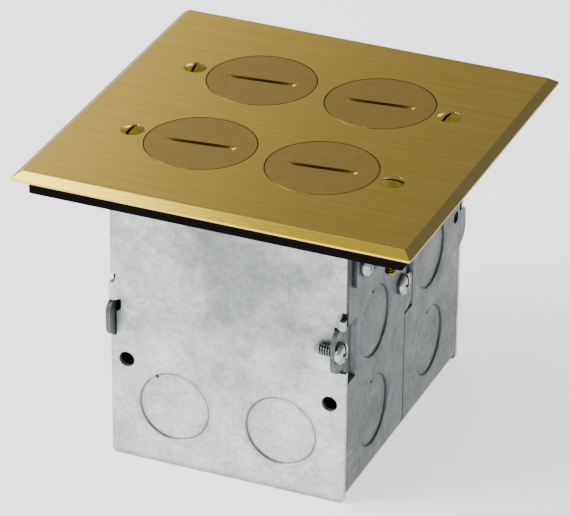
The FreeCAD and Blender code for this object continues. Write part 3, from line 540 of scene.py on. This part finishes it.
def turned_brass():
    """Satin brass with fine rings about each plug's own middle, folded from all four."""
    material, tree, shader = finish("plug_brass", Metallic=1.0)
    x, y, _ = axes(tree)
    off_x = maths(tree, "SUBTRACT", size_of(tree, x), PLUG_X)
    off_y = maths(tree, "SUBTRACT", size_of(tree, y), GANG_MIDDLE)
    along = maths(tree, "MULTIPLY", distance(tree, off_x, off_y), RING_SCALE)
    wires = {"W": along, "Scale": 1.0, "Detail": 2.0}
    rings = put(tree, "TexNoise", wires, noise_dimensions="1D")["Fac"]
    mottle = grain(tree, 260.0, 3.0, 0.6, 2.0)
    mixed = weighted(tree, (rings, 0.5), (mottle, 0.5))
    tone = blend(tree, spread(tree, mixed, 0.35, 0.65, 0.0, 1.0), PLUG_DARK, PLUG_LIGHT)
    # Painted highlight, with real wear, at the shallow ends of each coin slot.
    rubbed = spread(tree, shading_of(tree), -BRIGHT_END, 0.0, 1.0, 0.0)
    tone = blend(tree, rubbed, recess_shaded(tree, tone), PLUG_WORN_HIGHLIGHT)
    join(tree, tone, shader, "Base Color")
    rough = spread(tree, mixed, 0.3, 0.7, 0.44, 0.36)
    polish = spread(tree, rubbed, 0.0, 1.0, 1.0, RUBBED_POLISH)
    join(tree, maths(tree, "MULTIPLY", rough, polish), shader, "Roughness")
    relief(tree, shader, rings, 0.004 * MM)
    return material


PLUG_LOW, PLUG_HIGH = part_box("plug_back_right")
PLUG_X = (PLUG_LOW.x + PLUG_HIGH.x) / 2
plug_brass = turned_brass()
print("plug middle:", round(PLUG_X / MM, 2), round(GANG_MIDDLE / MM, 2))

# %% [markdown]
# ## Turned parts as one surface
# A plug or a screw is a turned profile with a thread round it and a slot across its head. A
# plain revolve can't carry the slot, so the head is a grid of rows that run along the slot:
# row k lies at y = r sin(a), with x from -r cos(a) to r cos(a), so the grid's rim is exactly
# the circle. Two rows stand at each slot edge, one high and one low, and make its wall. The
# rim's angles then carry on down the side as rings, where the thread is a change of radius.
# A thread is a spiral, so its depth depends on the height over the pitch less the share of
# a turn: going once round lifts the groove by one pitch.

# %% Surface of a turned part
THREAD_STEPS = 8
CREST_FLAT = 0.12
EDGE_GAP = 0.02 * MM
# depth at which a groove takes its full painted shade
FULL_SHADE_DEPTH = 0.3 * MM


def row_angles(radius, slot_half, count):
    """Angles of the head's rows, evenly spaced, with a close pair at each slot edge."""
    even = np.linspace(-pi / 2, pi / 2, count)
    edge = np.arcsin(slot_half / radius)
    foot = np.arcsin((slot_half - EDGE_GAP) / radius)
    clear = even[np.abs(np.abs(even) - edge) > 0.6 * (even[1] - even[0])]
    return np.sort(np.concatenate([clear, [-edge, -foot, foot, edge]]))


def thread(angle, height, pitch, depth, low, high):
    """Depth of a right-hand thread at phase p = height / pitch - angle / turn: a triangle,
    1 - |2 (p - floor p) - 1|, with flats cut on it, that fades out at both ends."""
    phase = height / pitch - angle / tau
    groove = 1.0 - np.abs(2.0 * (phase - np.floor(phase)) - 1.0)
    groove = np.clip((groove - CREST_FLAT) / (1.0 - 2.0 * CREST_FLAT), 0.0, 1.0)
    from_foot = np.clip((height - low) / pitch, 0.0, 1.0)
    from_head = np.clip((high - height) / pitch, 0.0, 1.0)
    return depth * groove * from_foot * from_head


def turned_surface(head, stations, groove, slot_half, rows, columns, side_shade=0.0):
    """Points, faces and painted shading of a turned part about Z, its head at the top.

    A point of the head is x = r cos(a) sin(b), y = r sin(a), z = head(x, y), and a point of
    the side is (w cos(a), w sin(a), z), where w is the station's radius less the thread.
    head(x, y) gives the head's height over its middle, and its painted shading. stations are
    (radius, height) pairs from the rim down to the foot. groove(angle, height) is what the
    thread takes off the radius, and the painted shade there is that depth as a share of a full
    shade depth, but never less than the side's given share, which the rim takes too. Where the
    slot runs out through the rim, the rim follows its floor down.
    """
    rim = stations[0][0]
    angle = row_angles(rim, slot_half, rows)
    across = np.sin(np.linspace(-pi / 2, pi / 2, columns))
    x = rim * np.cos(angle)[:, None] * across[None, :]
    y = np.repeat(rim * np.sin(angle)[:, None], columns, 1)
    z, head_shade = head(x, y)
    top = np.stack([x, y, z], 2)
    count = len(angle)
    right = np.arange(count) * columns + columns - 1
    left = np.arange(count - 2, 0, -1) * columns
    round_rim = np.concatenate([right, left])
    theta = np.concatenate([angle, pi - angle[-2:0:-1]])
    points = top.reshape(-1, 3)
    radius, height = np.array(stations).T
    rim_height = points[round_rim, 2]
    rim_radius = np.interp(-rim_height, -height, radius)
    points[round_rim, 0] = rim_radius * np.cos(theta)
    points[round_rim, 1] = rim_radius * np.sin(theta)
    level = np.minimum(height[1:, None], rim_height[None, :])
    wide = np.where(level < height[1:, None], rim_radius[None, :], radius[1:, None])
    cut = groove(theta[None, :], level)
    wide = np.maximum(wide - cut, 0.0)
    rings = np.stack([wide * np.cos(theta), wide * np.sin(theta), level], 2)
    around = len(theta)
    start = len(points)
    loops = np.vstack([round_rim, start + np.arange(rings.shape[0] * around).reshape(-1, around)])
    beside = np.roll(loops, -1, 1)
    sides = np.stack([loops[:-1], loops[1:], beside[1:], beside[:-1]], 2).reshape(-1, 4)
    grid = np.arange(count * columns).reshape(-1, columns)
    caps = np.stack([grid[:-1, :-1], grid[:-1, 1:], grid[1:, 1:], grid[1:, :-1]], 2)
    caps = caps.reshape(-1, 4)
    side = np.clip(cut / FULL_SHADE_DEPTH, side_shade, 1.0)
    painted_shading = np.concatenate([head_shade.ravel(), side.ravel()])
    # the rim takes the side's painted shade too
    painted_shading[round_rim] = np.maximum(painted_shading[round_rim], side_shade)
    return np.vstack([points, rings.reshape(-1, 3)]), np.vstack([caps, sides]), painted_shading


print("rings to a turn of thread:", THREAD_STEPS)

# %% [markdown]
# A surface is placed by a turn and a shift of its points. One or more placed surfaces then
# make one object. Points that coincide are welded, so each part is closed.

# %% From surfaces to a piece
WELD_REACH = 0.0001 * MM
CRISP_ANGLE = radians(38)


def frame_of(outward, turn):
    """Columns of a matrix that stands Z along outward and turns the slot about it."""
    out = Vector(outward).normalized()
    spin = Quaternion(out, turn) @ Vector((0, 0, 1)).rotation_difference(out)
    return np.array(spin.to_matrix())


def placed(surface, outward, turn, spot):
    """The surface with its axis along outward, turned about it, and moved to spot."""
    points, faces, painted_shading = surface
    return points @ frame_of(outward, turn).T + np.array(spot), faces, painted_shading


def piece(name, shapes, material, body, slot, *stands_for):
    """One object from several placed surfaces: welded, faces outward, edges kept crisp."""
    points, faces, painted_shading = zip(*shapes)
    base = np.cumsum([0] + [len(rows) for rows in points])
    corners = np.vstack([rows + first for rows, first in zip(faces, base)])
    mesh = bpy.data.meshes.new(name)
    mesh.from_pydata(np.vstack(points), [], corners.tolist())
    attribute = mesh.attributes.new("painted_shading", "FLOAT", "POINT")
    attribute.data.foreach_set("value", np.concatenate(painted_shading))
    welded = bmesh.new()
    welded.from_mesh(mesh)
    bmesh.ops.remove_doubles(welded, verts=welded.verts, dist=WELD_REACH)
    bmesh.ops.dissolve_degenerate(welded, edges=welded.edges, dist=WELD_REACH)
    bmesh.ops.recalc_face_normals(welded, faces=welded.faces)
    welded.to_mesh(mesh)
    welded.free()
    mesh.shade_smooth()
    mesh.set_sharp_from_angle(angle=CRISP_ANGLE)
    made = bpy.data.objects.new(name, mesh)
    bpy.context.scene.collection.objects.link(made)
    mesh.materials.append(material)
    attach(made, body)
    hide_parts(*stands_for)
    print(name, "faces:", len(mesh.polygons))


# %% [markdown]
# ## The screw plugs
# Each plug is a thick disc with a fine thread round it. Its coin slot is cut by a round
# cutter, so the floor is an arc: at distance x from the middle it lies R - sqrt(R^2 - x^2)
# above its deepest point, and the slot ends where that arc meets the top face. The shallow
# ends, where a coin bears, are worn and carry a painted highlight, and the deeper slot
# carries painted shade.

# %% Plugs
PLUG_RADIUS = (PLUG_HIGH.x - PLUG_LOW.x) / 2
PLUG_THICKNESS = PLUG_HIGH.z - PLUG_LOW.z
PLUG_CHAMFER = 0.3 * MM
PLUG_PITCH = 1.27 * MM
PLUG_THREAD = 0.62 * MM
COIN_HALF_LENGTH = 10.9 * MM
COIN_HALF_WIDTH = 0.9 * MM
COIN_DEPTH = 1.6 * MM
COIN_ANGLE = radians(6.5)
WORN_BRIGHT_SHARE = 0.45  # the slot carries a painted highlight, with wear, where it is shallower than this share of its depth
UNDER_RADIUS = 12.6 * MM
UNDER_DEPTH = 1.4 * MM
PLUG_RINGS = 44
PLUG_ROWS, PLUG_COLUMNS = 52, 56
# painted shade over the plug's whole side and rim
PLUG_SIDE_SHADE = 0.8
CUTTER = (COIN_HALF_LENGTH**2 + COIN_DEPTH**2) / (2 * COIN_DEPTH)


def coin_slot(x, y):
    """Flat top, z = 0, and inside the slot's width the cutter's arc where that is lower,
    z = R - D - sqrt(R^2 - x^2) for cutter R and depth D; painted shade grows with depth,
    and the shallow ends carry a painted highlight."""
    floor = -COIN_DEPTH + CUTTER - np.sqrt(CUTTER**2 - np.minimum(np.abs(x), CUTTER) ** 2)
    inside = np.abs(y) < COIN_HALF_WIDTH - EDGE_GAP / 2
    cut = np.where(inside, np.minimum(floor, 0.0), 0.0)
    share = np.clip(-cut / COIN_DEPTH, 0.0, 1.0)
    ends = (share > 0.0) & (share < WORN_BRIGHT_SHARE)
    return cut, np.where(ends, -BRIGHT_END * (1.0 - share / WORN_BRIGHT_SHARE), share**2)


side_levels = np.linspace(-PLUG_CHAMFER, PLUG_CHAMFER - PLUG_THICKNESS, PLUG_RINGS)
plug_profile = [
    (PLUG_RADIUS - PLUG_CHAMFER, 0.0),
    *[(PLUG_RADIUS, z) for z in side_levels],
    (PLUG_RADIUS - PLUG_CHAMFER, -PLUG_THICKNESS),
    (UNDER_RADIUS + MM, -PLUG_THICKNESS),
    (UNDER_RADIUS, UNDER_DEPTH - PLUG_THICKNESS),
    (0.0, UNDER_DEPTH - PLUG_THICKNESS),
]


def plug_groove(angle, height):
    """The plug's thread, between its two chamfers."""
    cut = thread(angle, height, PLUG_PITCH, PLUG_THREAD, -PLUG_THICKNESS, -PLUG_CHAMFER)
    on_side = (height <= -PLUG_CHAMFER) & (height >= PLUG_CHAMFER - PLUG_THICKNESS)
    return np.where(on_side, cut, 0.0)


plug_surface = turned_surface(coin_slot, plug_profile, plug_groove, COIN_HALF_WIDTH,
                              PLUG_ROWS, PLUG_COLUMNS, PLUG_SIDE_SHADE)
for gang, along in GANGS.items():
    for end, side in ENDS.items():
        label = gang + "_" + end
        body = "plug_" + label
        spot = (side * PLUG_X, along * GANG_MIDDLE, PLUG_HIGH.z)
        shape = placed(plug_surface, (0, 0, 1), COIN_ANGLE, spot)
        piece("screw_plug_" + label, [shape], plug_brass, body, "plug_brass", body)

# %% [markdown]
# ## The cover screws
# Oval-head machine screws: a low dome over a countersunk cone, one slot, and a long fine
# thread down to the device ears. They were driven by hand, so each slot points its own way.

# %% Cover screws
COVER_TOP = COVER_HIGH.z
OVAL_CROWN = 0.8 * MM
OVAL_RADIUS = 3.55 * MM
OVAL_CONE = 1.75 * MM
COVER_SCREW_RADIUS = 1.72 * MM
COVER_SCREW_SLOT = 0.5 * MM
COVER_SCREW_PITCH = 0.794 * MM
COVER_SCREW_THREAD = 0.36 * MM
COVER_SCREW_POINT = 0.35 * MM
# painted shade on the floor of a cover screw's slot
COVER_SLOT_SHADE = 0.8
OVAL_ROWS, OVAL_COLUMNS = 20, 18
OVAL_DOME = (OVAL_RADIUS**2 + OVAL_CROWN**2) / (2 * OVAL_CROWN)
SLOT_TURNS = {(-1, -1): 84.0, (1, -1): 8.0, (-1, 1): 97.0, (1, 1): 78.0}


def oval_head(x, y):
    """Cap of a sphere, z = C - R + sqrt(R^2 - x^2 - y^2) for crown C and sphere R, with the
    slot's flat floor one crown below the plate's surface."""
    cap = OVAL_CROWN - OVAL_DOME + np.sqrt(OVAL_DOME**2 - x**2 - y**2)
    inside = np.abs(y) < COVER_SCREW_SLOT - EDGE_GAP / 2
    return np.where(inside, -OVAL_CROWN, cap), inside * COVER_SLOT_SHADE


def shank_rings(top, bottom, pitch):
    """Heights of a shank's rings, close enough for its thread."""
    return np.linspace(top, bottom, int((top - bottom) / pitch * THREAD_STEPS) + 1)


screw_boxes = copies_in("cover_screws", lambda p: p[:, 0], lambda p: p[:, 1])
screw_foot = screw_boxes[0][0][2] - COVER_TOP
levels = shank_rings(-2 * OVAL_CONE, screw_foot + 0.3 * MM, COVER_SCREW_PITCH)
oval_profile = [
    (OVAL_RADIUS, 0.0),
    (COVER_SCREW_RADIUS, -OVAL_CONE),
    *[(COVER_SCREW_RADIUS, z) for z in levels],
    (COVER_SCREW_RADIUS - COVER_SCREW_POINT, screw_foot),
    (0.0, screw_foot),
]


def cover_groove(angle, height):
    """The cover screw's thread, from the cone down to the foot."""
    low, high = screw_foot, -OVAL_CONE
    return thread(angle, height, COVER_SCREW_PITCH, COVER_SCREW_THREAD, low, high)


oval_surface = turned_surface(oval_head, oval_profile, cover_groove, COVER_SCREW_SLOT,
                              OVAL_ROWS, OVAL_COLUMNS)
shapes = []
for low, high in screw_boxes:
    middle = (low + high) / 2
    turn = radians(SLOT_TURNS[(int(np.sign(middle[0])), int(np.sign(middle[1])))])
    spot = (middle[0], middle[1], COVER_TOP)
    shapes.append(placed(oval_surface, (0, 0, 1), turn, spot))
piece("cover_screw_set", shapes, screw_brass, "root", "brass_screw", "cover_screws")

# %% [markdown]
# ## Pan head screws
# The lock screws that clamp a lug under a hook, and the small ones that hold the ear
# brackets. A pan head is flatter than a ball on top and rounder at its edge, which the
# curve (1 - t^4)^(1/2) gives, where t is the share of the radius. All lengths of a head
# below are shares of its height or its radius.

# %% Pan head screws
RIM_SHARE = 0.32  # height of the rim's straight side
SLOT_FLOOR = 0.52  # height of the slot's floor
CROSS_REACH = 0.52  # radius that the cross recess covers
CROSS_DEPTH = 0.6  # depth of the recess in its middle
CROSS_WIDTH = 0.9  # half width of an arm, as a share of the slot's
# most painted shade in a pan head's slot and cross
PAN_SHADE = 0.8
PAN_ROWS, PAN_COLUMNS = 24, 30


def pan_head(radius, height, slot_half):
    """Head z = h (s + (1 - s) sqrt(1 - t^4)), for height h, rim share s and radius share t,
    with a slot right across, and a shallow cross recess in the middle of it."""
    def shape(x, y):
        share = np.clip(np.hypot(x, y) / radius, 0.0, 1.0)
        cap = height * (RIM_SHARE + (1.0 - RIM_SHARE) * np.sqrt(1.0 - share**4))
        inside = np.abs(y) < slot_half - EDGE_GAP / 2
        cut = np.where(inside, height * SLOT_FLOOR, cap)
        arm = np.minimum(np.abs(x), np.abs(y)) < slot_half * CROSS_WIDTH
        reach = np.clip(1.0 - np.hypot(x, y) / (CROSS_REACH * radius), 0.0, 1.0)
        cross = height * (1.0 - CROSS_DEPTH * reach ** 0.6)
        made = np.where(arm & (reach > 0), np.minimum(cut, cross), cut)
        # painted shade in the slot and the cross, by their depth
        return made, np.clip((cap - made) / FULL_SHADE_DEPTH, 0.0, PAN_SHADE)
    return shape


def pan_screw(low, high, head_height, shank, pitch, depth, point, slot_half, turn):
    """A pan head screw along X in its box, its head on the side away from the middle."""
    side = 1 if low[0] + high[0] > 0 else -1
    head_radius = (high[1] - low[1]) / 2
    length = high[0] - low[0] - head_height
    thread_top, thread_low = -0.1 * MM, point - length
    profile = [
        (head_radius, RIM_SHARE * head_height),
        (head_radius * 0.985, 0.06 * head_height),
        (head_radius * 0.95, 0.0),
        (shank, 0.0),
        *[(shank, z) for z in shank_rings(thread_top, thread_low, pitch)],
        (shank * 0.3, 0.15 * MM - length),
        (shank * 0.15, -length),
        (0.0, -length),
    ]

    def groove(angle, height):
        cut = thread(angle, height, pitch, depth, thread_low, 0.0)
        return np.where((height <= thread_top) & (height >= thread_low), cut, 0.0)

    head = pan_head(head_radius, head_height, slot_half)
    surface = turned_surface(head, profile, groove, slot_half, PAN_ROWS, PAN_COLUMNS)
    _, y, z = (low + high) / 2
    x = side * (max(abs(low[0]), abs(high[0])) - head_height)
    return placed(surface, (side, 0, 0), turn, (x, y, z))


LOCK = {"head_height": 2.2 * MM, "shank": 1.74 * MM, "pitch": 0.80 * MM,
        "depth": 0.34 * MM, "point": 1.6 * MM, "slot_half": 0.55 * MM}
SMALL = {"head_height": 2.1 * MM, "shank": 2.0 * MM, "pitch": 0.8 * MM,
         "depth": 0.3 * MM, "point": 0.3 * MM, "slot_half": 0.5 * MM}
LOCK_TURN = radians(-6)
BRACKET_TURNS = [radians(turn) for turn in (20, 75, 140, 100, 35, 62, 118, 160)]
lock_screws = {"plate_lock_screws": "side_plate_screws", "gang_lock_screws": "gang_screws"}
for name, node in lock_screws.items():
    boxes = copies_in(node, lambda p: p[:, 0])
    shapes = [pan_screw(low, high, turn=LOCK_TURN, **LOCK) for low, high in boxes]
    piece(name, shapes, zinc, "root", "zinc_screw", node)
boxes = copies_in("bracket_screws", lambda p: p[:, 0], lambda p: p[:, 1],
                  lambda p: np.abs(p[:, 1]) - GANG_MIDDLE)
shapes = [pan_screw(low, high, turn=turn, **SMALL)
          for (low, high), turn in zip(boxes, BRACKET_TURNS)]
piece("bracket_screw_set", shapes, zinc, "root", "zinc_screw", "bracket_screws")

# %% [markdown]
# ## Floor, light and camera
# A plain pale floor takes a soft shadow. It glows a little itself, so the low parts of the
# steel are lit from below. One large lamp stands in front on the left and lights the front
# plate. One hangs overhead, and the front bevel mirrors it. One stands low behind on the
# left, for the top of the brass and the ends of the coin slots to mirror.

# %% Stage
FLOOR_REACH = 6.0
FLOOR_TONES = (0.86, 0.86, 0.855), (0.88, 0.88, 0.875)
FLOOR_GLOW = 1.25
SKY_TONE = (0.95, 0.97, 1.0, 1.0)
SKY_STRENGTH = 0.50
# name: where it stands, what it points at, its two sides in metres, its power in watts
LAMPS = {
    "front_left": ((-1.65, -1.05, 0.95), (0, 0, 0.03), (0.9, 0.9), 46.0),
    "overhead": ((-0.63, -0.24, 0.88), (0, 0, 0.09), (0.45, 0.5), 9.0),
    "back_left": ((-1.20, 1.78, 0.69), (0, 0, 0.09), (0.30, 0.46), 3.2),
}


def floor():
    """A square of pale floor under the box."""
    mesh = bpy.data.meshes.new("floor")
    signs = (-1, -1), (1, -1), (1, 1), (-1, 1)
    corners = [(x * FLOOR_REACH, y * FLOOR_REACH, 0) for x, y in signs]
    mesh.from_pydata(corners, [], [(0, 1, 2, 3)])
    material, tree, shader = finish("floor", Roughness=0.9, Emission_Strength=FLOOR_GLOW,
                                    Emission_Color=(1.0, 1.0, 1.0, 1.0))
    join(tree, blend(tree, grain(tree, 3.0), *FLOOR_TONES), shader, "Base Color")
    mesh.materials.append(material)
    made = bpy.data.objects.new("floor", mesh)
    bpy.context.scene.collection.objects.link(made)


def softbox(name, spot, aim, size, power):
    """A white rectangular lamp at spot that faces aim."""
    lamp = bpy.data.lights.new(name, "AREA")
    lamp.shape = "RECTANGLE"
    lamp.size, lamp.size_y = size
    lamp.energy = power
    made = bpy.data.objects.new(name, lamp)
    made.location = spot
    made.rotation_mode = "QUATERNION"
    made.rotation_quaternion = (Vector(aim) - Vector(spot)).to_track_quat("-Z", "Y")
    bpy.context.scene.collection.objects.link(made)


floor()
for name, settings in LAMPS.items():
    softbox(name, *settings)
world = bpy.data.worlds.new("studio")
bpy.context.scene.world = world
world.use_nodes = True
sky = world.node_tree.nodes["Background"]
sky.inputs["Color"].default_value = SKY_TONE
sky.inputs["Strength"].default_value = SKY_STRENGTH
print("lamps:", ", ".join(LAMPS))

# %% [markdown]
# The camera stands in front and to the right, above the plate, far off with a long lens, so
# the box keeps nearly parallel edges. It is given by two angles about the target and a roll.

# %% Camera
AZIMUTH = radians(22.621)
ELEVATION = radians(28.675)
ROLL = radians(-0.578)
DISTANCE = 1.2685
TARGET = Vector((-0.00137, -0.00057, 0.05125))
FOCAL_LENGTH = 263.44  # in millimetres, over a sensor 36 mm wide
back = Vector((sin(AZIMUTH) * cos(ELEVATION), -cos(AZIMUTH) * cos(ELEVATION), sin(ELEVATION)))
lens = bpy.data.cameras.new("camera")
lens.lens = FOCAL_LENGTH
lens.sensor_width = 36.0
lens.clip_start = 0.01
camera = bpy.data.objects.new("camera", lens)
camera.location = TARGET + back * DISTANCE
camera.rotation_mode = "QUATERNION"
camera.rotation_quaternion = Quaternion(-back, ROLL) @ (-back).to_track_quat("-Z", "Y")
bpy.context.scene.collection.objects.link(camera)
bpy.context.scene.camera = camera
print("camera at", [round(v, 4) for v in camera.location])
